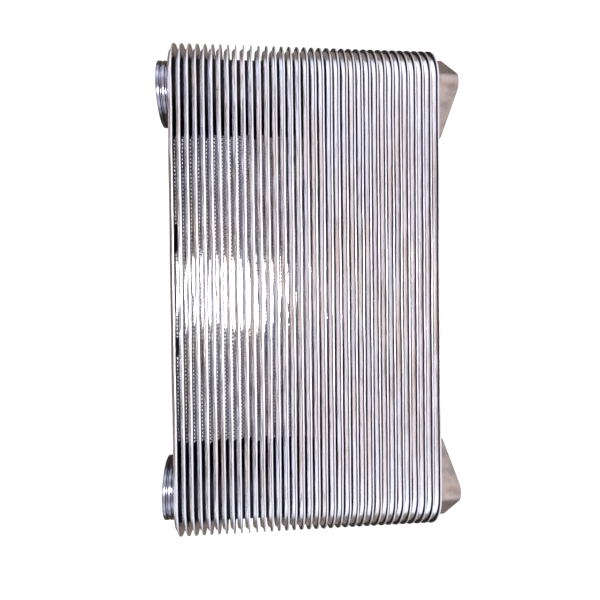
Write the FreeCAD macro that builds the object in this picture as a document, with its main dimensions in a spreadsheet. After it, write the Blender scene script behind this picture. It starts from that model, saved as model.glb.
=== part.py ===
import FreeCAD
import Part
import Sketcher
import math
import os

# Core of a plate oil cooler: flat stainless elements stacked along X and joined at two ports by collars,
# with corrugated coolant fins in the gaps, two sealing spigots at -X and two mounting blocks at +X.
# The core lies on the long straight rims of its plates: +Z is up and +Y runs along the plates.
# Each piece is drawn about the middle of the core's length, with X = 0 on its own left face and
# Z = 0 on the port axes. Its Placement then puts it in the stack.

SIZES = {
    # the stack
    "element_count": 35,
    "pitch": 7.25,
    "element_depth": 4.6,
    "end_spacing": 396,
    "end_radius": 42,
    "port_spacing": 391,
    "port_radius": 22.5,
    # one element: a drawn pan brazed to a flat cover, both from the same sheet
    "sheet_gauge": 0.7,
    "floor_inset": 5,
    "shoulder_inset": 2.8,
    "floor_round": 1.5,
    "rim_round": 0.3,
    # the ring that joins two elements round a port
    "collar_radius": 32,
    # coolant fins in the gaps: three pads along each plate, end to end
    "fin_gauge": 0.35,
    "fin_width": 64,
    "fin_length": 93.5,
    "fin_waves": 27,
    "fin_upper_offset": 95,
    "fin_middle_offset": 1,
    "fin_lower_offset": -93,
    # the first gap has shorter pads, spaced apart
    "short_fin_length": 79,
    "short_fin_waves": 23,
    "short_fin_upper_offset": 101.5,
    "short_fin_middle_offset": -3,
    "short_fin_lower_offset": -98.5,
    # turbulator sheet inside each element
    "turbulator_gauge": 0.3,
    "turbulator_length": 340,
    "turbulator_width": 64,
    "turbulator_waves": 16,
    # turned sealing spigots
    "spigot_length": 12.2,
    "spigot_radius": 29.7,
    "spigot_bore_radius": 21.5,
    "groove_depth": 1.6,
    "groove_width": 1.6,
    "outer_groove_offset": 3.4,
    "groove_spacing": 4.8,
    "lip_round": 0.7,
    # square mounting blocks, standing on one corner
    "block_side": 66,
    "block_corner": 14,
    "block_depth": 20,
    "block_chamfer": 0.6,
    "bolt_circle_radius": 28,
    "tapping_radius": 3.4,
    "tapping_depth": 15,
}
PORTS = {"upper": "Sizes.port_spacing / 2", "lower": "-Sizes.port_spacing / 2"}
FIN_PADS = ("upper", "middle", "lower")
GAP = "(Sizes.pitch - Sizes.element_depth)"
STACK = "((Sizes.element_count - 1) * Sizes.pitch + Sizes.element_depth)"
STACK_START = f"((Sizes.spigot_length - Sizes.block_depth - {STACK}) / 2)"
BLOCK_TURN = 45  # degrees

# names that Sketcher gives to the points of its curves
START, END, CENTRE = 1, 2, 3
X_AXIS, Y_AXIS, ORIGIN = -1, -2, (-1, 1)

doc = FreeCAD.newDocument("plate_cooler_core")


def fill_sheet():
    sheet = doc.addObject("Spreadsheet::Sheet", "Sizes")
    for row, (name, value) in enumerate(SIZES.items(), start=1):
        sheet.set(f"A{row}", name)
        sheet.set(f"B{row}", str(value))
        sheet.setAlias(f"B{row}", name)
    doc.recompute()
    return sheet


def size(formula):
    """The value of a formula of the sheet's cells, for a choice that no feature can hold."""
    return float(doc.Sizes.evalExpression(formula.replace("Sizes.", "")))


def new_body(name):
    return doc.addObject("PartDesign::Body", name)


def new_sketch(body, name, plane="YZ_Plane", offset="0"):
    """A sketch on one of the body's own origin planes, lifted off it by a formula."""
    sketch = body.newObject("Sketcher::SketchObject", name)
    support = next(f for f in body.Origin.OriginFeatures if f.Role == plane)
    sketch.AttachmentSupport = [(support, "")]
    sketch.MapMode = "FlatFace"
    sketch.setExpression("AttachmentOffset.Base.z", offset)
    return sketch


def bind(sketch, name, formula, kind, *where):
    """Adds a sized constraint and ties its value to the sheet."""
    index = sketch.addConstraint(Sketcher.Constraint(kind, *where, size(formula)))
    sketch.renameConstraint(index, name)
    sketch.setExpression(f"Constraints.{name}", formula)


def draw_plate_outline(sketch, inset):
    """Two half circles near the ports, joined by straight rims; inset moves it inwards."""
    radius = f"Sizes.end_radius - {inset}"
    reach, bend = size("Sizes.end_spacing / 2"), size(radius)
    up = FreeCAD.Vector(0, 0, 1)
    ends = [Part.Circle(FreeCAD.Vector(side * reach, 0, 0), up, bend) for side in (1, -1)]
    quarter = math.pi / 2
    upper = sketch.addGeometry(Part.ArcOfCircle(ends[0], -quarter, quarter))
    lower = sketch.addGeometry(Part.ArcOfCircle(ends[1], quarter, 3 * quarter))
    near, far = [
        sketch.addGeometry(
            Part.LineSegment(
                FreeCAD.Vector(side * reach, side * bend, 0),
                FreeCAD.Vector(-side * reach, side * bend, 0),
            )
        )
        for side in (1, -1)
    ]
    for first, second in ((upper, near), (near, lower), (lower, far), (far, upper)):
        sketch.addConstraint(Sketcher.Constraint("Tangent", first, END, second, START))
    sketch.addConstraint(Sketcher.Constraint("Symmetric", upper, CENTRE, lower, CENTRE, *ORIGIN))
    sketch.addConstraint(Sketcher.Constraint("PointOnObject", upper, CENTRE, X_AXIS))
    sketch.addConstraint(Sketcher.Constraint("Horizontal", near))
    bind(sketch, "reach", "Sizes.end_spacing / 2", "DistanceX", *ORIGIN, upper, CENTRE)
    bind(sketch, "radius", radius, "Radius", upper)


def draw_circle(sketch, name, radius, centre="0"):
    """A circle on the sketch's X axis, centred on the origin unless a formula says where."""
    middle = FreeCAD.Vector(size(centre), 0, 0)
    circle = sketch.addGeometry(Part.Circle(middle, FreeCAD.Vector(0, 0, 1), size(radius)))
    if centre == "0":
        sketch.addConstraint(Sketcher.Constraint("Coincident", circle, CENTRE, *ORIGIN))
    else:
        sketch.addConstraint(Sketcher.Constraint("PointOnObject", circle, CENTRE, X_AXIS))
        bind(sketch, f"{name}_centre", centre, "DistanceX", *ORIGIN, circle, CENTRE)
    bind(sketch, f"{name}_radius", radius, "Radius", circle)


def draw_polygon(sketch, points):
    corners = [FreeCAD.Vector(x, y, 0) for x, y in points]
    lines = [
        sketch.addGeometry(Part.LineSegment(start, end))
        for start, end in zip(corners, corners[1:] + corners[:1])
    ]
    for line, following in zip(lines, lines[1:] + lines[:1]):
        sketch.addConstraint(Sketcher.Constraint("Coincident", line, END, following, START))
    for line in lines:
        edge = sketch.Geometry[line]
        level = abs(edge.EndPoint.y - edge.StartPoint.y) < abs(edge.EndPoint.x - edge.StartPoint.x)
        sketch.addConstraint(Sketcher.Constraint("Horizontal" if level else "Vertical", line))
    return lines


def add_pad(body, sketch, length):
    pad = body.newObject("PartDesign::Pad", f"{sketch.Name}_pad")
    pad.Profile = sketch
    pad.setExpression("Length", length)
    return pad


def add_pocket(body, sketch, length):
    """Cuts towards +X, the way the sketches of this part face."""
    pocket = body.newObject("PartDesign::Pocket", f"{sketch.Name}_pocket")
    pocket.Profile = sketch
    pocket.Reversed = True
    pocket.setExpression("Length", length)
    must_cut(pocket)
    return pocket


def must_cut(feature):
    """Stops if a feature that should remove material leaves the solid as it was."""
    doc.recompute()
    removed = feature.BaseFeature.Shape.Volume - feature.Shape.Volume
    if removed < 1:
        raise RuntimeError(f"{feature.Label} removes only {removed:.2f} mm3")


def add_loft(body, kind, first, second):
    loft = body.newObject(f"PartDesign::{kind}Loft", f"{first.Name}_loft")
    loft.Profile = first
    loft.Sections = [second]
    return loft


def edges_at(body, test):
    """The names of the body's edges whose every vertex passes the test."""
    doc.recompute()
    return [
        f"Edge{number}"
        for number, edge in enumerate(body.Shape.Edges, start=1)
        if all(test(vertex.Point) for vertex in edge.Vertexes)
    ]


def add_edge_finish(body, kind, name, value, edges):
    """A fillet or a chamfer on named edges of the body's last feature."""
    last = body.Tip
    finish = body.newObject(f"PartDesign::{kind}", name)
    finish.Base = (last, edges)
    finish.setExpression("Radius" if kind == "Fillet" else "Size", value)
    return finish


def cut_ports(body, start, depth):
    """The two port holes of a plate."""
    sketch = new_sketch(body, f"{body.Name}_ports", offset=start)
    for name, centre in PORTS.items():
        draw_circle(sketch, name, "Sizes.port_radius", centre)
    return add_pocket(body, sketch, depth)


def make_pan():
    """A drawn dish: flat floor at the left, sloping wall, and a flat flange that the cover is brazed to."""
    body = new_body("pan")
    flange_back = "Sizes.element_depth - 2 * Sizes.sheet_gauge"
    floor = new_sketch(body, "pan_floor")
    draw_plate_outline(floor, "Sizes.floor_inset")
    shoulder = new_sketch(body, "pan_shoulder", offset=flange_back)
    draw_plate_outline(shoulder, "Sizes.shoulder_inset")
    add_loft(body, "Additive", floor, shoulder)
    floor_edges = edges_at(body, lambda point: abs(point.x) < 1e-6)
    add_edge_finish(body, "Fillet", "floor_bend", "Sizes.floor_round", floor_edges)
    flange = new_sketch(body, "pan_flange", offset=flange_back)
    draw_plate_outline(flange, "0")
    add_pad(body, flange, "Sizes.sheet_gauge")
    inner_floor = new_sketch(body, "pan_inner_floor", offset="Sizes.sheet_gauge")
    draw_plate_outline(inner_floor, "(Sizes.floor_inset + Sizes.sheet_gauge)")
    mouth = new_sketch(body, "pan_mouth", offset="Sizes.element_depth - Sizes.sheet_gauge")
    draw_plate_outline(mouth, "(Sizes.shoulder_inset + Sizes.sheet_gauge)")
    add_loft(body, "Subtractive", inner_floor, mouth)
    cut_ports(body, "0", "Sizes.sheet_gauge")
    return body


def make_cover():
    """The flat plate that closes a pan; its outer rim edge is rounded by the shear and the braze."""
    body = new_body("cover")
    outline = new_sketch(body, "cover_outline", offset="Sizes.element_depth - Sizes.sheet_gauge")
    draw_plate_outline(outline, "0")
    add_pad(body, outline, "Sizes.sheet_gauge")
    face = size("Sizes.element_depth")
    rim = edges_at(body, lambda point: abs(point.x - face) < 1e-6)
    add_edge_finish(body, "Fillet", "cover_rim", "Sizes.rim_round", rim)
    cut_ports(body, "Sizes.element_depth - Sizes.sheet_gauge", "Sizes.sheet_gauge")
    return body


def make_corrugated_strip(name, plane, height, gauge, length, waves, width):
    """A square-wave sheet: one wave is drawn and padded to the sheet's width, then repeated."""
    body = new_body(name)
    sketch = new_sketch(body, f"{name}_wave", plane)
    pitch = f"{length} / {waves}"
    low, high = gauge, f"({height} - {gauge})"
    rise, thick, thin = size(height), size(low), size(high)
    step = size(pitch)
    outline = [
        (0, 0),
        (0, step / 2),
        (thin, step / 2),
        (thin, step - thick),
        (0, step - thick),
        (0, step),
        (rise, step),
        (rise, step / 2 - thick),
        (thick, step / 2 - thick),
        (thick, 0),
    ]
    lines = draw_polygon(sketch, outline)
    sketch.addConstraint(Sketcher.Constraint("Coincident", lines[0], START, *ORIGIN))
    sketch.addConstraint(Sketcher.Constraint("PointOnObject", lines[4], START, Y_AXIS))
    for label, kind, corner, formula in (
        ("half_wave", "DistanceY", 1, f"{pitch} / 2"),
        ("falling_web", "DistanceY", 3, f"{pitch} - {gauge}"),
        ("full_wave", "DistanceY", 5, pitch),
        ("rising_web", "DistanceY", 7, f"{pitch} / 2 - {gauge}"),
        ("crest_underside", "DistanceX", 2, high),
        ("crest", "DistanceX", 6, height),
        ("trough", "DistanceX", 8, low),
    ):
        bind(sketch, label, formula, kind, *ORIGIN, lines[corner], START)
    wave = add_pad(body, sketch, width)
    doc.recompute()
    row = body.newObject("PartDesign::LinearPattern", f"{name}_waves")
    row.Originals = [wave]
    row.Direction = (sketch, ["V_Axis"])
    row.setExpression("Length", f"{length} - {pitch}")
    row.setExpression("Occurrences", waves)
    body.Tip = row
    return body


def make_fin_strip(kind):
    """A coolant fin pad, long or short: corrugations follow each other along Y, open along Z."""
    return make_corrugated_strip(
        f"{kind}_strip",
        "XY_Plane",
        GAP,
        "Sizes.fin_gauge",
        f"Sizes.{kind}_length",
        f"Sizes.{kind}_waves",
        "Sizes.fin_width",
    )


def make_turbulator():
    """The sheet inside an element: corrugations follow each other along Z, open along Y."""
    return make_corrugated_strip(
        "turbulator",
        "XZ_Plane",
        "(Sizes.element_depth - 2 * Sizes.sheet_gauge)",
        "Sizes.turbulator_gauge",
        "Sizes.turbulator_width",
        "Sizes.turbulator_waves",
        "Sizes.turbulator_length",
    )


def make_collar():
    """The ring between two elements, which carries the oil from one to the next."""
    body = new_body("collar")
    ring = new_sketch(body, "collar_ring")
    draw_circle(ring, "outer", "Sizes.collar_radius")
    draw_circle(ring, "inner", "Sizes.port_radius")
    add_pad(body, ring, GAP)
    return body


def make_spigot():
    """A turned ring with a rounded lip and two seal grooves; its outer face is at X = 0."""
    body = new_body("spigot")
    ring = new_sketch(body, "spigot_ring")
    draw_circle(ring, "outer", "Sizes.spigot_radius")
    draw_circle(ring, "inner", "Sizes.spigot_bore_radius")
    add_pad(body, ring, "Sizes.spigot_length")
    doc.recompute()
    slot = new_sketch(body, "groove_section", "XY_Plane")
    near, far = size("Sizes.outer_groove_offset"), size("Sizes.outer_groove_offset + Sizes.groove_width")
    floor = size("Sizes.spigot_radius - Sizes.groove_depth")
    brim = size("Sizes.spigot_radius + Sizes.groove_depth")
    bottom, side, _, _ = draw_polygon(
        slot, [(near, floor), (far, floor), (far, brim), (near, brim)]
    )
    bind(slot, "offset", "Sizes.outer_groove_offset", "DistanceX", *ORIGIN, bottom, START)
    bind(slot, "width", "Sizes.groove_width", "DistanceX", bottom, START, bottom, END)
    bind(slot, "floor", "Sizes.spigot_radius - Sizes.groove_depth", "DistanceY", *ORIGIN, bottom, START)
    bind(slot, "cut", "2 * Sizes.groove_depth", "DistanceY", side, START, side, END)
    groove = body.newObject("PartDesign::Groove", "outer_groove")
    groove.Profile = slot
    groove.ReferenceAxis = (slot, ["H_Axis"])
    groove.Angle = 360
    must_cut(groove)
    pair = body.newObject("PartDesign::LinearPattern", "both_grooves")
    pair.Originals = [groove]
    pair.Direction = (slot, ["H_Axis"])
    pair.setExpression("Length", "Sizes.groove_spacing")
    pair.Occurrences = 2
    body.Tip = pair
    radius, length = size("Sizes.spigot_radius"), size("Sizes.spigot_length")

    def on_lands(point):
        return point.x < length - 1e-6 and abs(math.hypot(point.y, point.z) - radius) < 1e-6

    add_edge_finish(body, "Fillet", "land_edges", "Sizes.lip_round", edges_at(body, on_lands))
    return body


def make_block():
    """A square block with four blind tapped holes near its corners; it lies flat on the last cover."""
    body = new_body("block")
    square = new_sketch(body, "block_square")
    half = size("Sizes.block_side / 2")
    bottom, side, _, _ = draw_polygon(square, [(-half, -half), (half, -half), (half, half), (-half, half)])
    square.addConstraint(Sketcher.Constraint("Symmetric", bottom, START, side, END, *ORIGIN))
    bind(square, "across", "Sizes.block_side", "DistanceX", bottom, START, bottom, END)
    bind(square, "along", "Sizes.block_side", "DistanceY", side, START, side, END)
    add_pad(body, square, "Sizes.block_depth")
    doc.recompute()
    corners = [
        f"Edge{number}"
        for number, edge in enumerate(body.Shape.Edges, start=1)
        if abs(edge.tangentAt(edge.FirstParameter).x) > 0.9
    ]
    add_edge_finish(body, "Fillet", "block_corners", "Sizes.block_corner", corners)
    depth = size("Sizes.block_depth")
    front = edges_at(body, lambda point: abs(point.x - depth) < 1e-6)
    add_edge_finish(body, "Chamfer", "block_front_edges", "Sizes.block_chamfer", front)
    hole = new_sketch(body, "tapped_hole", offset="Sizes.block_depth - Sizes.tapping_depth")
    hole.AttachmentOffset = FreeCAD.Placement(
        FreeCAD.Vector(), FreeCAD.Rotation(FreeCAD.Vector(0, 0, 1), BLOCK_TURN)
    )
    draw_circle(hole, "tapping", "Sizes.tapping_radius", "Sizes.bolt_circle_radius")
    drilled = add_pocket(body, hole, "Sizes.tapping_depth")
    circle = body.newObject("PartDesign::PolarPattern", "bolt_circle")
    circle.Originals = [drilled]
    circle.Axis = (next(f for f in body.Origin.OriginFeatures if f.Role == "X_Axis"), [""])
    circle.Angle = 360
    circle.Occurrences = 4
    body.Tip = circle
    return body


def place(label, pieces, x, y="0", z="0", turn=0):
    """A sub-part of the core: its pieces, moved together to their place above the floor."""
    node = doc.addObject("Part::Compound", label)
    node.Label = label
    node.Links = pieces
    node.Placement = FreeCAD.Placement(
        FreeCAD.Vector(), FreeCAD.Rotation(FreeCAD.Vector(1, 0, 0), turn)
    )
    node.setExpression("Placement.Base.x", x)
    node.setExpression("Placement.Base.y", y)
    node.setExpression("Placement.Base.z", f"Sizes.end_radius + {z}")
    return node


def row_of(master, label, count):
    """Copies of one piece, a pitch apart along the stack."""
    copies = []
    for index in range(count):
        copy = doc.addObject("App::Link", f"{label}_{index + 1:02d}")
        copy.LinkedObject = master
        copy.setExpression("Placement.Base.x", f"{index} * Sizes.pitch")
        copies.append(copy)
    return copies


def assemble():
    elements = int(size("Sizes.element_count"))
    gaps = elements - 1
    first_gap = f"{STACK_START} + Sizes.element_depth"
    pan, cover = make_pan(), make_cover()
    nodes = [
        place(f"element_{index + 1:02d}", [pan, cover], f"{STACK_START} + {index} * Sizes.pitch")
        for index in range(elements)
    ]
    fin_strip, short_strip = make_fin_strip("fin"), make_fin_strip("short_fin")
    for pad in FIN_PADS:
        z = "-Sizes.fin_width / 2"
        y = f"Sizes.short_fin_{pad}_offset - Sizes.short_fin_length / 2"
        nodes.append(place(f"first_gap_fins_{pad}", [short_strip], first_gap, y, z))
        y = f"Sizes.fin_{pad}_offset - Sizes.fin_length / 2"
        fins = row_of(fin_strip, f"fin_{pad}", gaps - 1)
        nodes.append(place(f"coolant_fins_{pad}", fins, f"{first_gap} + Sizes.pitch", y, z))
    turbulators = row_of(make_turbulator(), "turbulator_sheet", elements)
    nodes.append(
        place(
            "oil_turbulators",
            turbulators,
            f"{STACK_START} + Sizes.sheet_gauge",
            "Sizes.turbulator_length / 2",
            "-Sizes.turbulator_width / 2",
        )
    )
    collar, spigot, block = make_collar(), make_spigot(), make_block()
    for port, y in PORTS.items():
        collars = row_of(collar, f"collar_{port}", gaps)
        nodes.append(place(f"port_collars_{port}", collars, first_gap, y))
        nodes.append(place(f"spigot_{port}", [spigot], f"{STACK_START} - Sizes.spigot_length", y))
        face = f"{STACK_START} + {STACK}"
        nodes.append(place(f"mounting_block_{port}", [block], face, y, turn=BLOCK_TURN))
    doc.recompute()
    return nodes


def check(nodes):
    for item in doc.Objects:
        if {"Invalid", "Error"} & set(item.State):
            raise RuntimeError(f"{item.Label} failed: {item.State}")
    for node in nodes:
        if node.Shape.isNull() or not node.Shape.isValid() or not node.Shape.Solids:
            raise RuntimeError(f"{node.Label} has no valid solid")


fill_sheet()
parts = assemble()
check(parts)
os.makedirs("parts", exist_ok=True)
for part in parts:
    part.Shape.exportStep(f"parts/{part.Label}.step")
    print(f"{part.Label}: {len(part.Shape.Solids)} solids, {part.Shape.Volume / 1000:.2f} cm3")
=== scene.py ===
import math
import random

import bpy
from mathutils import Matrix, Vector


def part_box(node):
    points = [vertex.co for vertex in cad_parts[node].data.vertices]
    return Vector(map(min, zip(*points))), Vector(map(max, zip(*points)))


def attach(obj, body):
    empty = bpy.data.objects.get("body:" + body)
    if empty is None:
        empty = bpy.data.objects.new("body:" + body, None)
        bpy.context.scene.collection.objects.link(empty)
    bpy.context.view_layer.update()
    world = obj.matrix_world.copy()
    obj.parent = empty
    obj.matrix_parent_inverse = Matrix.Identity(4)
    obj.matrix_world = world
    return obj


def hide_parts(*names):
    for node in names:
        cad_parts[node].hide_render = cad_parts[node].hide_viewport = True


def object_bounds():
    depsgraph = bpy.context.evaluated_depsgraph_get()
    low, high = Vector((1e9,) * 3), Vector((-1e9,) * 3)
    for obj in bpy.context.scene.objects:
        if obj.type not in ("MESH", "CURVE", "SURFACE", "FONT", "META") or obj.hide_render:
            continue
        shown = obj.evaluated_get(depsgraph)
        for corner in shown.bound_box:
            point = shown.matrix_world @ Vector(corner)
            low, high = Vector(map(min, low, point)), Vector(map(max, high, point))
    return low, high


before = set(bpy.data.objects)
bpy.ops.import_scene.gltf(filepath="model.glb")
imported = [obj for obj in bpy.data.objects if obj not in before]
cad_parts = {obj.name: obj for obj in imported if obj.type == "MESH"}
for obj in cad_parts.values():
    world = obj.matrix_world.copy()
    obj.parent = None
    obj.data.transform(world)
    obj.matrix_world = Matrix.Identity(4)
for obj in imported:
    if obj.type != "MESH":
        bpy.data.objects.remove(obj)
cad_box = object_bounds()

# ---------------------------------------------------------------------------------------------
# Camera: it hangs close over the core, left of its middle, and looks almost straight down between
# the plates, so the gaps lean away on both sides. Its place is given from the middle of the stack.

MM = 0.001
stack_low, stack_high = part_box("element_01")[0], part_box("element_35")[1]
core = (stack_low + stack_high) / 2

bpy.ops.object.camera_add(
    location=core + Vector((-57.9, -4.3, 390.1)) * MM,
    rotation=[math.radians(turn) for turn in (-0.676, -4.123, -0.694)],
)
camera = bpy.context.object
camera.data.lens = 22.98
camera.data.shift_x = 0.0456
camera.data.clip_start = 0.01
bpy.context.scene.camera = camera

# ---------------------------------------------------------------------------------------------
# Studio: a pale floor, and round it a soft tent of light that the bright steel mirrors. The tent is
# cool white overhead and at both ends, dimmer and slightly warm level with the core at either side.
# Under the core lie a black mat, which keeps the gaps dark, and on it a lit opal sheet, whose light
# comes up through the middle of the fins.


def linear(hex_colour):
    """The linear RGBA of an sRGB hex colour."""
    channels = [int(hex_colour[i : i + 2], 16) / 255 for i in (1, 3, 5)]
    return [c / 12.92 if c <= 0.04045 else ((c + 0.055) / 1.055) ** 2.4 for c in channels] + [1.0]


def add_node(tree, kind, props=None, values=None, links=None):
    """Adds a shader node, with its properties, its sockets' values and its sockets' sources."""
    node = tree.nodes.new(kind)
    for name, value in (props or {}).items():
        setattr(node, name, value)
    for name, value in (values or {}).items():
        node.inputs[name].default_value = value
    for name, source in (links or {}).items():
        tree.links.new(source, node.inputs[name])
    return node


def set_ramp(node, *stops):
    """Gives a ColorRamp its stops, each a place from 0 to 1 and a colour."""
    ramp = node.color_ramp
    while len(ramp.elements) < len(stops):
        ramp.elements.new(0.5)
    for element, (place, colour) in zip(ramp.elements, stops):
        element.position = place
        element.color = linear(colour) if isinstance(colour, str) else [colour] * 3 + [1.0]
    return node.outputs["Color"]


def blank_tree(block):
    """Empties a material's or a world's node tree."""
    block.use_nodes = True
    block.node_tree.nodes.clear()
    return block.node_tree


world = bpy.data.worlds.new("light_tent")
bpy.context.scene.world = world
tree = blank_tree(world)
direction = add_node(tree, "ShaderNodeTexCoord").outputs["Generated"]
parts = add_node(tree, "ShaderNodeSeparateXYZ", links={"Vector": direction}).outputs
along = add_node(tree, "ShaderNodeMath", {"operation": "ABSOLUTE"}, links={0: parts["Y"]})
sides = set_ramp(
    add_node(tree, "ShaderNodeValToRGB", links={"Fac": along.outputs[0]}),
    (0.12, "#cfc3c2"),
    (0.26, "#d8d0d4"),
    (0.42, "#f0f1fa"),
    (0.80, "#e4e6ee"),
)
leftward = add_node(
    tree, "ShaderNodeMath", {"operation": "MULTIPLY"}, values={1: -1.0}, links={0: parts["X"]}
)
shade_side = set_ramp(
    add_node(tree, "ShaderNodeValToRGB", links={"Fac": leftward.outputs[0]}), (0.2, 0.0), (0.5, 1.0)
)
shade_end = set_ramp(
    add_node(tree, "ShaderNodeValToRGB", links={"Fac": along.outputs[0]}), (0.28, 1.0), (0.5, 0.3)
)
shade = add_node(
    tree,
    "ShaderNodeMath",
    {"operation": "MULTIPLY"},
    links={0: shade_side, 1: shade_end},
)
dimmed = add_node(
    tree,
    "ShaderNodeMixRGB",
    {"blend_type": "MULTIPLY"},
    values={"Color2": linear("#6c5f60")},
    links={"Fac": shade.outputs[0], "Color1": sides},
)
rise = set_ramp(
    add_node(tree, "ShaderNodeValToRGB", links={"Fac": parts["Z"]}), (0.74, 0.0), (0.97, 1.0)
)
upper = add_node(
    tree,
    "ShaderNodeMixRGB",
    values={"Color2": linear("#e6e2ea")},
    links={"Fac": rise, "Color1": dimmed.outputs["Color"]},
)
ground = set_ramp(
    add_node(tree, "ShaderNodeValToRGB", links={"Fac": parts["Z"]}), (0.0, 1.0), (0.03, 0.0)
)
tent = add_node(
    tree,
    "ShaderNodeMixRGB",
    values={"Color2": linear("#625b53")},
    links={"Fac": ground, "Color1": upper.outputs["Color"]},
)
seen = add_node(tree, "ShaderNodeLightPath").outputs["Is Camera Ray"]
mirrored = add_node(
    tree, "ShaderNodeBackground", values={"Strength": 2.3}, links={"Color": tent.outputs["Color"]}
)
plain = add_node(tree, "ShaderNodeBackground", values={"Color": linear("#ffffff"), "Strength": 1.0})
shown = add_node(
    tree,
    "ShaderNodeMixShader",
    links={"Fac": seen, 1: mirrored.outputs[0], 2: plain.outputs[0]},
)
add_node(tree, "ShaderNodeOutputWorld", links={"Surface": shown.outputs[0]})

FLOOR_SIZE = 6
FLOOR_DROP, MAT_DROP, SHEET_DROP = 0.5 * MM, 0.4 * MM, 0.3 * MM
MAT_SIZE = (0.24, 0.43, 1)
LIT_SHEET_SIZE = (0.23, 0.27, 1)

# A pale matt floor, white to the eye and brown in the steel's reflections.
bpy.ops.mesh.primitive_plane_add(size=FLOOR_SIZE, location=(0, 0, cad_box[0].z - FLOOR_DROP))
floor = bpy.context.object
floor.name = "floor"
paper = bpy.data.materials.new("pale_matt_floor")
tree = blank_tree(paper)
seen = add_node(tree, "ShaderNodeLightPath").outputs["Is Camera Ray"]
lit = add_node(tree, "ShaderNodeBsdfDiffuse", values={"Color": linear("#f2f2f2")})
glow = add_node(tree, "ShaderNodeEmission", values={"Color": linear("#ffffff"), "Strength": 1.0})
bright = add_node(
    tree, "ShaderNodeMixShader", values={"Fac": 0.86}, links={1: lit.outputs[0], 2: glow.outputs[0]}
)
dull = add_node(tree, "ShaderNodeBsdfDiffuse", values={"Color": linear("#5a5048")})
both = add_node(
    tree, "ShaderNodeMixShader", links={"Fac": seen, 1: dull.outputs[0], 2: bright.outputs[0]}
)
add_node(tree, "ShaderNodeOutputMaterial", links={"Surface": both.outputs[0]})
floor.data.materials.append(paper)

# Black felt: nothing bright shows through the gaps.
bpy.ops.mesh.primitive_plane_add(size=1, location=(core.x, core.y, cad_box[0].z - MAT_DROP))
dark_mat = bpy.context.object
dark_mat.name = "dark_mat"
dark_mat.scale = MAT_SIZE
felt = bpy.data.materials.new("black_felt")
tree = blank_tree(felt)
pile = add_node(tree, "ShaderNodeBsdfDiffuse", values={"Color": linear("#201c1a")})
add_node(tree, "ShaderNodeOutputMaterial", links={"Surface": pile.outputs[0]})
dark_mat.data.materials.append(felt)

# A lit opal sheet: a strong even glow that only the fins' channels pass on.
bpy.ops.mesh.primitive_plane_add(size=1, location=(core.x, core.y, cad_box[0].z - SHEET_DROP))
underlight = bpy.context.object
underlight.name = "underlight"
underlight.scale = LIT_SHEET_SIZE
lit_glass = bpy.data.materials.new("lit_opal_glass")
tree = blank_tree(lit_glass)
glow = add_node(tree, "ShaderNodeEmission", values={"Color": linear("#f8faff"), "Strength": 20.0})
add_node(tree, "ShaderNodeOutputMaterial", links={"Surface": glow.outputs[0]})
underlight.data.materials.append(lit_glass)


def soft_light(name, place, aim, across, along, watts, colour):
    """A rectangular diffuser panel, aimed at a point of the core."""
    bpy.ops.object.light_add(type="AREA", location=core + Vector(place))
    lamp = bpy.context.object
    lamp.name = name
    lamp.data.shape = "RECTANGLE"
    lamp.data.size, lamp.data.size_y = across, along
    lamp.data.energy = watts
    lamp.data.color = linear(colour)[:3]
    lamp.rotation_euler = (core + Vector(aim) - lamp.location).to_track_quat("-Z", "Y").to_euler()


soft_light("panel_overhead", (-0.20, 0.0, 1.0), (0, 0, 0), 0.22, 0.4, 14.0, "#ffffff")
soft_light("panel_far_end", (0.0, 1.2, 0.9), (0, 0.1, 0), 1.6, 0.6, 6.0, "#f4f6ff")
soft_light("panel_near_end", (0.0, -1.2, 0.9), (0, -0.1, 0), 1.6, 0.6, 5.0, "#f4f6ff")

bpy.context.scene.view_settings.view_transform = "Standard"

# ---------------------------------------------------------------------------------------------
# The elements: thirty-five flat oil pockets, each a drawn pan of 0.7 mm stainless sheet, with a
# sloping wall and an upstanding flange, and a flat cover of the same sheet brazed to the flange.
# Their sheared edges lie together as one bright line. The faces inside the gaps and the corner
# between wall and edge are darkened with painted shade.

END_REACH = 198 * MM
END_RADIUS = 42 * MM
PORT_REACH = 195.5 * MM
PORT_RADIUS = 22.5 * MM
SHEET = 0.7 * MM
ELEMENT_COUNT = 35
ELEMENT_DEPTH = 4.6 * MM
PITCH = (stack_high.x - stack_low.x - ELEMENT_DEPTH) / (ELEMENT_COUNT - 1)
SHOULDER = END_RADIUS - 2.8 * MM
FLOOR_EDGE = END_RADIUS - 5 * MM
FLOOR_LAND = END_RADIUS - 9 * MM
FLOOR_BEND = 0.8 * MM
SHOULDER_BEND = 0.35 * MM
RIM_ROUND = 0.16 * MM
ARC_STEPS = 36
RUN_STEPS = 22
PORT_STEPS = 64
FLOOR_CUTS_Y = range(-216, 217, 24)
FLOOR_CUTS_Z = range(-20, 21, 10)
NEAR = 1e-6
WELD = 1e-5
BRAZE_BAND = 0.25 * MM
SEAM_BAND = 0.4 * MM
SHADE_REACH = 218 * MM
FLAT, SLOPING = 0.97, 0.2
BRIGHT, EDGE, SEAM, GAP_SHADE = range(4)


def work_on(piece, mode="OBJECT"):
    """Makes one piece the only selected and the active one."""
    bpy.ops.object.select_all(action="DESELECT")
    bpy.context.view_layer.objects.active = piece
    piece.select_set(True)
    if mode == "EDIT":
        bpy.ops.object.mode_set(mode="EDIT")


def select(mesh, kind, test):
    """In edit mode, selects only the vertices, edges or faces that pass the test."""
    bpy.ops.mesh.select_mode(type={"vertices": "VERT", "edges": "EDGE", "polygons": "FACE"}[kind])
    bpy.ops.mesh.select_all(action="DESELECT")
    bpy.ops.object.mode_set(mode="OBJECT")
    for part in getattr(mesh, kind):
        part.select = test(part)
    bpy.ops.object.mode_set(mode="EDIT")


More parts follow.
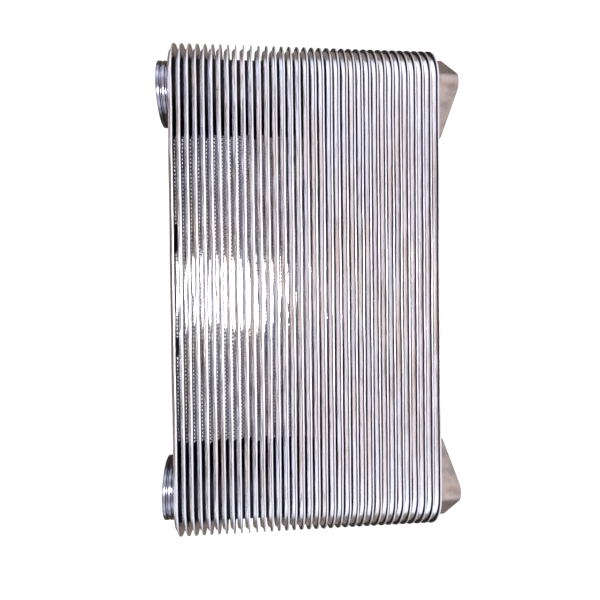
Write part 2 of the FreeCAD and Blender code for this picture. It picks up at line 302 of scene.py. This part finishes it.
def draw_section(name, corners):
    """Starts a piece in edit mode: one point, extruded from corner to corner of a section."""
    bpy.ops.object.select_all(action="DESELECT")
    bpy.context.tool_settings.mesh_select_mode = (True, False, False)
    bpy.ops.mesh.primitive_plane_add(size=1 * MM, location=corners[0])
    piece = bpy.context.object
    piece.name = piece.data.name = name
    bpy.ops.object.transform_apply(location=True, rotation=True, scale=True)
    bpy.ops.object.mode_set(mode="EDIT")
    bpy.ops.mesh.select_all(action="SELECT")
    bpy.ops.mesh.merge(type="CENTER")
    for here, there in zip(corners, corners[1:]):
        bpy.ops.mesh.extrude_vertices_move(TRANSFORM_OT_translate={"value": there - here})
    return piece


def apply_modifier(piece, kind, **settings):
    """Adds one modifier to a piece and applies it."""
    work_on(piece)
    modifier = piece.modifiers.new(kind.lower(), kind)
    for name, value in settings.items():
        setattr(modifier, name, value)
    bpy.ops.object.modifier_apply(modifier=modifier.name)


def spine_distance(point):
    """How far a point is from the line between the centres of a plate's end arcs, across X."""
    beyond = max(0.0, abs(point.y - core.y) - END_REACH)
    return math.hypot(beyond, point.z - core.z)


def press_plate(name, section, bends):
    """Sweeps half a section round a plate's outline and closes its floor round the two ports.

    The section lists the depth along X and the distance from the end arc's centre, from the rim
    inwards, and it is drawn above the upper arc's centre. Bends are its rounded corners."""
    upper = Vector((stack_low.x, core.y + END_REACH, core.z))
    lower = Vector((stack_low.x, core.y - END_REACH, core.z))
    piece = draw_section(name, [upper + Vector((depth, 0, out)) for depth, out in section])
    mesh = piece.data
    for depth, out, offset, segments in bends:
        corner = upper + Vector((depth, 0, out))
        select(mesh, "vertices", lambda v: (v.co - corner).length < NEAR)
        bpy.ops.mesh.bevel(
            offset_type="OFFSET", offset=offset, segments=segments, affect="VERTICES"
        )
    bpy.ops.mesh.select_all(action="SELECT")
    bpy.ops.mesh.spin(steps=ARC_STEPS, angle=math.pi, center=upper, axis=(1, 0, 0))
    at_y = lambda e, y: all(abs(mesh.vertices[v].co.y - y) < NEAR for v in e.vertices)
    select(mesh, "edges", lambda e: at_y(e, upper.y))
    for _ in range(RUN_STEPS):
        bpy.ops.mesh.extrude_region_move(
            TRANSFORM_OT_translate={"value": (0, -2 * END_REACH / RUN_STEPS, 0)}
        )
    above = lambda e: all(mesh.vertices[v].co.z > core.z for v in e.vertices)
    select(mesh, "edges", lambda e: at_y(e, lower.y) and above(e))
    bpy.ops.mesh.spin(steps=ARC_STEPS, angle=math.pi, center=lower, axis=(-1, 0, 0))
    for side in (1, -1):
        bpy.ops.mesh.primitive_circle_add(
            vertices=PORT_STEPS,
            radius=PORT_RADIUS,
            location=core + Vector((section[-1][0] - core.x + stack_low.x, side * PORT_REACH, 0)),
            rotation=(0, math.pi / 2, 0),
        )
    bpy.ops.mesh.select_all(action="SELECT")
    bpy.ops.mesh.remove_doubles(threshold=WELD)
    inner = section[-1][1] + 0.01 * MM
    at_rim = lambda e: all(spine_distance(mesh.vertices[v].co) < inner for v in e.vertices)
    select(mesh, "edges", at_rim)
    bpy.ops.mesh.fill(use_beauty=True)
    cuts = [((0, y * MM, 0), (0, 1, 0)) for y in FLOOR_CUTS_Y]
    cuts += [((0, 0, z * MM), (0, 0, 1)) for z in FLOOR_CUTS_Z]
    in_floor = lambda f: all(spine_distance(mesh.vertices[v].co) < inner for v in f.vertices)
    for place, normal in cuts:
        select(mesh, "polygons", in_floor)
        bpy.ops.mesh.bisect(plane_co=core + Vector(place), plane_no=normal)
    bpy.ops.mesh.select_all(action="SELECT")
    bpy.ops.mesh.normals_make_consistent(inside=False)
    bpy.ops.object.mode_set(mode="OBJECT")
    return piece


def face_towards(piece, direction):
    """Turns an open sheet's faces over where its widest face looks the wrong way."""
    widest = max(piece.data.polygons, key=lambda face: face.area)
    if widest.normal.dot(Vector(direction)) < 0:
        work_on(piece, "EDIT")
        bpy.ops.mesh.select_all(action="SELECT")
        bpy.ops.mesh.flip_normals()
        bpy.ops.object.mode_set(mode="OBJECT")


flange_front = ELEMENT_DEPTH - 2 * SHEET
pan = press_plate(
    "pan",
    [(flange_front, END_RADIUS), (flange_front, SHOULDER), (0, FLOOR_EDGE), (0, FLOOR_LAND)],
    [(0, FLOOR_EDGE, FLOOR_BEND, 5), (flange_front, SHOULDER, SHOULDER_BEND, 3)],
)
face_towards(pan, (-1, 0, 0))
cover = press_plate(
    "cover",
    [(ELEMENT_DEPTH, END_RADIUS), (ELEMENT_DEPTH, FLOOR_EDGE), (ELEMENT_DEPTH, FLOOR_LAND)],
    [],
)
face_towards(cover, (1, 0, 0))


def sheet_steel(name, polish, grain_depth, tints):
    """A stainless sheet finish: a long fine grain along Y, soft dents, and faint brazing tints."""
    steel = bpy.data.materials.new(name)
    tree = blank_tree(steel)
    place = add_node(tree, "ShaderNodeTexCoord").outputs["Object"]
    stretched = add_node(
        tree, "ShaderNodeMapping", values={"Scale": (1.0, 0.05, 1.0)}, links={"Vector": place}
    )
    grain = add_node(
        tree,
        "ShaderNodeTexNoise",
        values={"Scale": 1 / (0.8 * MM), "Detail": 3.0},
        links={"Vector": stretched.outputs[0]},
    ).outputs["Fac"]
    squashed = add_node(
        tree, "ShaderNodeMapping", values={"Scale": (9.0, 1.0, 1.0)}, links={"Vector": place}
    )
    patch = add_node(
        tree,
        "ShaderNodeTexNoise",
        values={"Scale": 1 / (90 * MM), "Detail": 2.0},
        links={"Vector": squashed.outputs[0]},
    ).outputs["Fac"]
    tint = set_ramp(add_node(tree, "ShaderNodeValToRGB", links={"Fac": patch}), *tints)
    rough = add_node(
        tree,
        "ShaderNodeMapRange",
        values={"To Min": polish[0], "To Max": polish[1]},
        links={"Value": grain},
    )
    ripple = add_node(
        tree,
        "ShaderNodeTexNoise",
        values={"Scale": 1 / (22 * MM), "Detail": 1.0},
        links={"Vector": squashed.outputs[0]},
    )
    dents = add_node(
        tree,
        "ShaderNodeBump",
        values={"Strength": 0.4, "Distance": 1.0 * MM},
        links={"Height": ripple.outputs["Fac"]},
    )
    scratches = add_node(
        tree,
        "ShaderNodeBump",
        values={"Strength": 0.3, "Distance": grain_depth},
        links={"Height": grain, "Normal": dents.outputs["Normal"]},
    )
    shader = add_node(
        tree,
        "ShaderNodeBsdfPrincipled",
        values={"Metallic": 1.0},
        links={
            "Base Color": tint,
            "Roughness": rough.outputs["Result"],
            "Normal": scratches.outputs["Normal"],
        },
    )
    add_node(tree, "ShaderNodeOutputMaterial", links={"Surface": shader.outputs[0]})
    return steel


# Bright and smooth: long streaks of the tent, broken by soft dents.
stainless = sheet_steel(
    "bright_rolled_stainless",
    (0.16, 0.30),
    0.05 * MM,
    ((0.34, "#d9dae2"), (0.50, "#dfdee1"), (0.64, "#dbd5d3")),
)
# Rougher and paler: the thin light line along every element.
sheared_edge = sheet_steel(
    "sheared_brazed_stainless_edge",
    (0.34, 0.52),
    0.12 * MM,
    ((0.34, "#b2b2b9"), (0.50, "#b0b0b6"), (0.64, "#adabae")),
)
# Purple-brown, painted shade: the dark line in the corner between wall and edge, where shade falls.
seam_corner_shade = sheet_steel(
    "stainless_painted_corner_shade",
    (0.35, 0.55),
    0.08 * MM,
    ((0.34, "#3e3846"), (0.50, "#342e34"), (0.64, "#463a36")),
)
# Nearly black and dull, painted shade: the faces deep in the gaps, and the collars and turbulators.
gap_shade_steel = sheet_steel(
    "stainless_painted_gap_shade",
    (0.45, 0.6),
    0.08 * MM,
    ((0.34, "#1e1c24"), (0.50, "#1b191f"), (0.64, "#201c1b")),
)

for plate in (pan, cover):
    plate.data.materials.append(stainless)
    plate.data.materials.append(sheared_edge)
    plate.data.materials.append(seam_corner_shade)
    plate.data.materials.append(gap_shade_steel)
    apply_modifier(plate, "SOLIDIFY", thickness=SHEET, offset=-1, use_even_offset=True)
    apply_modifier(
        plate,
        "BEVEL",
        width=RIM_ROUND,
        segments=2,
        limit_method="ANGLE",
        angle_limit=math.radians(60),
    )
    bpy.ops.object.shade_smooth_by_angle(angle=math.radians(35))
    for face in plate.data.polygons:
        reach = [spine_distance(plate.data.vertices[v].co) for v in face.vertices]
        if min(reach) > END_RADIUS - BRAZE_BAND:
            face.material_index = EDGE
        # The corner between the pan's wall and its flange: painted shade.
        elif plate is pan and face.normal.x < -SLOPING and min(reach) > SHOULDER - SEAM_BAND:
            face.material_index = SEAM
        # Flat faces inside the floor outline, in the gaps: painted shade.
        elif (
            abs(face.normal.x) > FLAT
            and max(reach) < FLOOR_EDGE + NEAR
            and abs(face.center.y - core.y) < SHADE_REACH
        ):
            face.material_index = GAP_SHADE


def copy_piece(piece, name, offset):
    """A copy with its own mesh, moved in its mesh."""
    twin = piece.copy()
    twin.data = piece.data.copy()
    twin.name = twin.data.name = name
    bpy.context.collection.objects.link(twin)
    twin.data.transform(Matrix.Translation(offset))
    return twin


UNEVENNESS = 1.1 * MM
BUCKLE_LENGTH = 60 * MM
wander = random.Random(35)
bpy.ops.object.empty_add()
unrest = bpy.context.object
buckle = bpy.data.textures.new("buckle", "CLOUDS")
buckle.noise_scale = BUCKLE_LENGTH
for number in range(1, ELEMENT_COUNT + 1):
    unrest.location = [wander.uniform(-9, 9) for _ in range(3)]
    bpy.context.view_layer.update()
    for plate, kind in ((pan, "pan"), (cover, "cover")):
        twin = copy_piece(plate, f"{kind}_{number:02d}", ((number - 1) * PITCH, 0, 0))
        apply_modifier(
            twin,
            "DISPLACE",
            texture=buckle,
            texture_coords="OBJECT",
            texture_coords_object=unrest,
            direction="X",
            strength=UNEVENNESS,
            mid_level=0.5,
        )
        # The end elements' outer faces lie in the open and keep the bright steel, without the
        # painted shade.
        if (number, kind) in ((1, "pan"), (ELEMENT_COUNT, "cover")):
            for face in twin.data.polygons:
                if face.material_index == GAP_SHADE:
                    face.material_index = BRIGHT
        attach(twin, "root")
        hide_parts(f"element_{number:02d}")
for spare in (pan, cover, unrest):
    bpy.data.objects.remove(spare)

# ---------------------------------------------------------------------------------------------
# Coolant fins: thin stainless strip folded to a square wave and brazed between one element's cover
# and the next one's floor, three pads end to end in each gap. The first gap has shorter pads,
# spaced apart. Only the crests against the cover have their upward cut edges painted near white,
# as painted highlight.

FIN_SHEET = 0.45 * MM
FIN_WIDTH = 64 * MM
FIN_CUTS = 8
FIN_SLIP = 2.5 * MM
LONG_PAD = (93.5 * MM, 27)
SHORT_PAD = (79 * MM, 23)
GAP = PITCH - ELEMENT_DEPTH


def fold_pad(name, length, waves):
    """One pad in the first gap, starting at Y = 0: a square wave, drawn down the pad's width."""
    wave = length / waves
    low, high = FIN_SHEET / 2, GAP - FIN_SHEET / 2
    start = Vector((stack_low.x + ELEMENT_DEPTH, 0, core.z + FIN_WIDTH / 2))
    turns = ((low, 0.04), (low, 0.42), (high, 0.54), (high, 0.92), (low, 1.04))
    piece = draw_section(name, [start + Vector((x, part * wave, 0)) for x, part in turns])
    bpy.ops.object.mode_set(mode="OBJECT")
    apply_modifier(
        piece,
        "ARRAY",
        count=waves,
        use_relative_offset=False,
        use_constant_offset=True,
        constant_offset_displace=(0, wave, 0),
        use_merge_vertices=True,
        merge_threshold=0.01 * MM,
    )
    work_on(piece, "EDIT")
    bpy.ops.mesh.select_all(action="SELECT")
    for _ in range(FIN_CUTS):
        bpy.ops.mesh.extrude_region_move(
            TRANSFORM_OT_translate={"value": (0, 0, -FIN_WIDTH / FIN_CUTS)}
        )
    bpy.ops.object.mode_set(mode="OBJECT")
    apply_modifier(piece, "SOLIDIFY", thickness=FIN_SHEET, offset=0, use_even_offset=True)
    work_on(piece, "EDIT")
    bpy.ops.mesh.select_all(action="SELECT")
    bpy.ops.mesh.normals_make_consistent(inside=False)
    bpy.ops.object.mode_set(mode="OBJECT")
    return piece


# Smooth and grey: the channels mirror light along their walls and darken with depth.
fin_strip = sheet_steel(
    "folded_stainless_fin_strip",
    (0.05, 0.09),
    0.01 * MM,
    ((0.34, "#a2a3a9"), (0.50, "#a6a6aa"), (0.64, "#a4a09e")),
)
# Nearly white, painted highlight: the row of bright dots down each gap, on the upward cut edges of
# one crest only.
fin_crest_highlight = sheet_steel(
    "fin_crest_painted_highlight",
    (0.42, 0.52),
    0.04 * MM,
    ((0.34, "#fbfbff"), (0.50, "#fdfdfd"), (0.64, "#fbf8f4")),
)
long_pad = fold_pad("long_pad", *LONG_PAD)
short_pad = fold_pad("short_pad", *SHORT_PAD)
for pad in (long_pad, short_pad):
    pad.data.materials.append(fin_strip)
    pad.data.materials.append(fin_crest_highlight)
    for face in pad.data.polygons:
        # The upward faces on the crests against the cover: painted highlight.
        on_crest = face.center.x < stack_low.x + ELEMENT_DEPTH + FIN_SHEET
        face.material_index = int(on_crest and face.normal.z > FLAT)
    work_on(pad)
    bpy.ops.object.shade_smooth_by_angle(angle=math.radians(25))

slips = [wander.uniform(-1, 1) * FIN_SLIP for _ in range(ELEMENT_COUNT)]
for side in ("upper", "middle", "lower"):
    node = f"first_gap_fins_{side}"
    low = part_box(node)[0]
    twin = copy_piece(short_pad, f"short_fins_{side}", (0, low.y, 0))
    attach(twin, "root")
    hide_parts(node)
    node = f"coolant_fins_{side}"
    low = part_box(node)[0]
    row = [
        copy_piece(long_pad, f"fin_pad_{gap}", (gap * PITCH, low.y + slips[gap], 0))
        for gap in range(1, ELEMENT_COUNT - 1)
    ]
    bpy.ops.object.select_all(action="DESELECT")
    for twin in row:
        twin.select_set(True)
    bpy.context.view_layer.objects.active = row[0]
    bpy.ops.object.join()
    row[0].name = row[0].data.name = f"long_fins_{side}"
    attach(row[0], "root")
    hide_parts(node)
for spare in (long_pad, short_pad):
    bpy.data.objects.remove(spare)

# ---------------------------------------------------------------------------------------------
# Port collars and turbulator sheets: blanked and folded stainless deep inside the core, dull, and
# made nearly black with painted shade. Only their edges show, far down in the gaps.

for node in ("port_collars_upper", "port_collars_lower", "oil_turbulators"):
    for slot in bpy.data.objects[node].material_slots:
        slot.material = gap_shade_steel

# ---------------------------------------------------------------------------------------------
# Spigots: turned stainless rings brazed over the ports of the first element. Each slips into a bore
# of the housing, with two seal grooves between a rounded lip, a bead and the body.

SPIGOT_RADIUS = 29.7 * MM
BORE_RADIUS = 21.5 * MM
GROOVE_DEPTH = 1.6 * MM
GROOVES = ((3.4 * MM, 5.0 * MM), (8.2 * MM, 9.8 * MM))
SPIGOT_STEPS = 96
LIP_ROUND = 0.55 * MM


def turned_steel(name, low, high):
    """Turned steel: fine rings left by the tool round X, over a face with faint darker stains."""
    steel = bpy.data.materials.new(name)
    tree = blank_tree(steel)
    place = add_node(tree, "ShaderNodeTexCoord").outputs["Object"]
    squeezed = add_node(
        tree, "ShaderNodeMapping", values={"Scale": (1.0, 0.03, 0.03)}, links={"Vector": place}
    )
    rings = add_node(
        tree,
        "ShaderNodeTexNoise",
        values={"Scale": 1 / (0.35 * MM), "Detail": 3.0},
        links={"Vector": squeezed.outputs[0]},
    ).outputs["Fac"]
    stain = add_node(
        tree,
        "ShaderNodeTexNoise",
        values={"Scale": 1 / (14 * MM), "Detail": 3.0},
        links={"Vector": place},
    ).outputs["Fac"]
    tint = set_ramp(
        add_node(tree, "ShaderNodeValToRGB", links={"Fac": stain}), (0.35, low), (0.65, high)
    )
    rough = add_node(
        tree, "ShaderNodeMapRange", values={"To Min": 0.12, "To Max": 0.28}, links={"Value": rings}
    )
    turned = add_node(
        tree,
        "ShaderNodeBump",
        values={"Strength": 0.35, "Distance": 0.05 * MM},
        links={"Height": rings},
    )
    shader = add_node(
        tree,
        "ShaderNodeBsdfPrincipled",
        values={"Metallic": 1.0},
        links={"Base Color": tint, "Roughness": rough.outputs[0], "Normal": turned.outputs[0]},
    )
    add_node(tree, "ShaderNodeOutputMaterial", links={"Surface": shader.outputs[0]})
    return steel


# Polished and dark: sharp blue-white highlights along each land.
spigot_steel = turned_steel("polished_turned_steel", "#5c5c66", "#7a7a86")
for side, end in (("upper", 1), ("lower", -1)):
    node = f"spigot_{side}"
    outer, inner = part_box(node)[0].x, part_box(node)[1].x
    centre = Vector((outer, core.y + end * PORT_REACH, core.z))
    section = [(0, BORE_RADIUS), (0, SPIGOT_RADIUS)]
    for near, far in GROOVES:
        section += [(near, SPIGOT_RADIUS), (near, SPIGOT_RADIUS - GROOVE_DEPTH)]
        section += [(far, SPIGOT_RADIUS - GROOVE_DEPTH), (far, SPIGOT_RADIUS)]
    section += [(inner - outer, SPIGOT_RADIUS), (inner - outer, BORE_RADIUS), (0, BORE_RADIUS)]
    ring = draw_section(f"seal_ring_{side}", [centre + Vector((x, 0, out)) for x, out in section])
    bpy.ops.mesh.select_all(action="SELECT")
    bpy.ops.mesh.spin(steps=SPIGOT_STEPS, angle=2 * math.pi, center=centre, axis=(1, 0, 0))
    bpy.ops.mesh.select_all(action="SELECT")
    bpy.ops.mesh.remove_doubles(threshold=NEAR)
    bpy.ops.mesh.normals_make_consistent(inside=False)
    bpy.ops.object.mode_set(mode="OBJECT")
    apply_modifier(
        ring,
        "BEVEL",
        width=LIP_ROUND,
        segments=3,
        limit_method="ANGLE",
        angle_limit=math.radians(60),
    )
    bpy.ops.object.shade_smooth_by_angle(angle=math.radians(35))
    ring.data.materials.append(spigot_steel)
    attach(ring, "root")
    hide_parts(node)

# ---------------------------------------------------------------------------------------------
# Mounting blocks: milled steel squares set on their corners, brazed over the last element's ports.
# Round corners run along the stack, and four tapped holes in the outer face take cover screws.

BLOCK_SIDE = 66 * MM
BLOCK_CORNER = 14 * MM
BLOCK_CHAMFER = 0.6 * MM
BOLT_CIRCLE = 28 * MM
TAPPING_RADIUS = 3.4 * MM
TAPPING_DEPTH = 15 * MM
TAPPING_STEPS = 32
MOUTH_WIDTH, MOUTH_DEPTH = 1.6 * MM, 0.6 * MM
DRILL_POINT = 2 * MM
DRILL_CLEAR = 1 * MM

# Grey and satin, its brown cast a painted reflection of the brown floor: broad soft highlights on
# the round corners, broken by the cutter's strokes.
block_steel = bpy.data.materials.new("milled_block_steel")
tree = blank_tree(block_steel)
place = add_node(tree, "ShaderNodeTexCoord").outputs["Object"]
stroke = add_node(
    tree, "ShaderNodeMapping", values={"Scale": (0.06, 1.0, 1.0)}, links={"Vector": place}
)
cutter = add_node(
    tree,
    "ShaderNodeTexNoise",
    values={"Scale": 1 / (0.6 * MM), "Detail": 4.0},
    links={"Vector": stroke.outputs[0]},
).outputs["Fac"]
cloud = add_node(
    tree,
    "ShaderNodeTexNoise",
    values={"Scale": 1 / (11 * MM), "Detail": 4.0},
    links={"Vector": place},
).outputs["Fac"]
# The brown in these colours is painted reflection of the brown floor; the grey is the steel's own.
tint = set_ramp(
    add_node(tree, "ShaderNodeValToRGB", links={"Fac": cloud}),
    (0.36, "#7a716d"),
    (0.50, "#8c8079"),
    (0.62, "#91847d"),
)
rough = add_node(
    tree, "ShaderNodeMapRange", values={"To Min": 0.3, "To Max": 0.5}, links={"Value": cutter}
)
marks = add_node(
    tree,
    "ShaderNodeBump",
    values={"Strength": 0.4, "Distance": 0.06 * MM},
    links={"Height": cutter},
)
shader = add_node(
    tree,
    "ShaderNodeBsdfPrincipled",
    values={"Metallic": 1.0},
    links={"Base Color": tint, "Roughness": rough.outputs[0], "Normal": marks.outputs[0]},
)
add_node(tree, "ShaderNodeOutputMaterial", links={"Surface": shader.outputs[0]})

for side, end in (("upper", 1), ("lower", -1)):
    node = f"mounting_block_{side}"
    inner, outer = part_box(node)[0].x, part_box(node)[1].x
    centre = Vector(((inner + outer) / 2, core.y + end * PORT_REACH, core.z))
    bpy.ops.object.select_all(action="DESELECT")
    bpy.ops.mesh.primitive_cube_add(
        size=1,
        location=centre,
        rotation=(math.pi / 4, 0, 0),
        scale=(outer - inner, BLOCK_SIDE, BLOCK_SIDE),
    )
    block = bpy.context.object
    block.name = block.data.name = f"block_{side}"
    bpy.ops.object.transform_apply(location=True, rotation=True, scale=True)
    mesh = block.data
    work_on(block, "EDIT")
    lengthwise = lambda e: abs(
        mesh.vertices[e.vertices[0]].co.x - mesh.vertices[e.vertices[1]].co.x
    ) > NEAR
    select(mesh, "edges", lengthwise)
    bpy.ops.mesh.bevel(offset_type="OFFSET", offset=BLOCK_CORNER, segments=12, affect="EDGES")
    front = lambda p: abs(p.x - outer) < NEAR
    select(mesh, "edges", lambda e: all(front(mesh.vertices[v].co) for v in e.vertices))
    bpy.ops.mesh.bevel(offset_type="OFFSET", offset=BLOCK_CHAMFER, segments=2, affect="EDGES")
    bpy.ops.object.mode_set(mode="OBJECT")
    for turn in range(4):
        around = math.radians(90 * turn)
        spot = Vector((0, BOLT_CIRCLE * math.cos(around), BOLT_CIRCLE * math.sin(around)))
        drill_profile = [
            (outer + DRILL_CLEAR, 0),
            (outer + DRILL_CLEAR, TAPPING_RADIUS + MOUTH_WIDTH),
            (outer - MOUTH_DEPTH, TAPPING_RADIUS),
            (outer - TAPPING_DEPTH, TAPPING_RADIUS),
            (outer - TAPPING_DEPTH - DRILL_POINT, 0),
        ]
        hub = Vector((0, centre.y, centre.z)) + spot
        drill = draw_section("drill", [hub + Vector((x, 0, out)) for x, out in drill_profile])
        bpy.ops.mesh.select_all(action="SELECT")
        bpy.ops.mesh.spin(steps=TAPPING_STEPS, angle=2 * math.pi, center=hub, axis=(1, 0, 0))
        bpy.ops.mesh.select_all(action="SELECT")
        bpy.ops.mesh.remove_doubles(threshold=NEAR)
        bpy.ops.mesh.normals_make_consistent(inside=False)
        bpy.ops.object.mode_set(mode="OBJECT")
        apply_modifier(block, "BOOLEAN", operation="DIFFERENCE", solver="EXACT", object=drill)
        bpy.data.objects.remove(drill)
    work_on(block)
    bpy.ops.object.shade_smooth_by_angle(angle=math.radians(25))
    block.data.materials.append(block_steel)
    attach(block, "root")
    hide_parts(node)
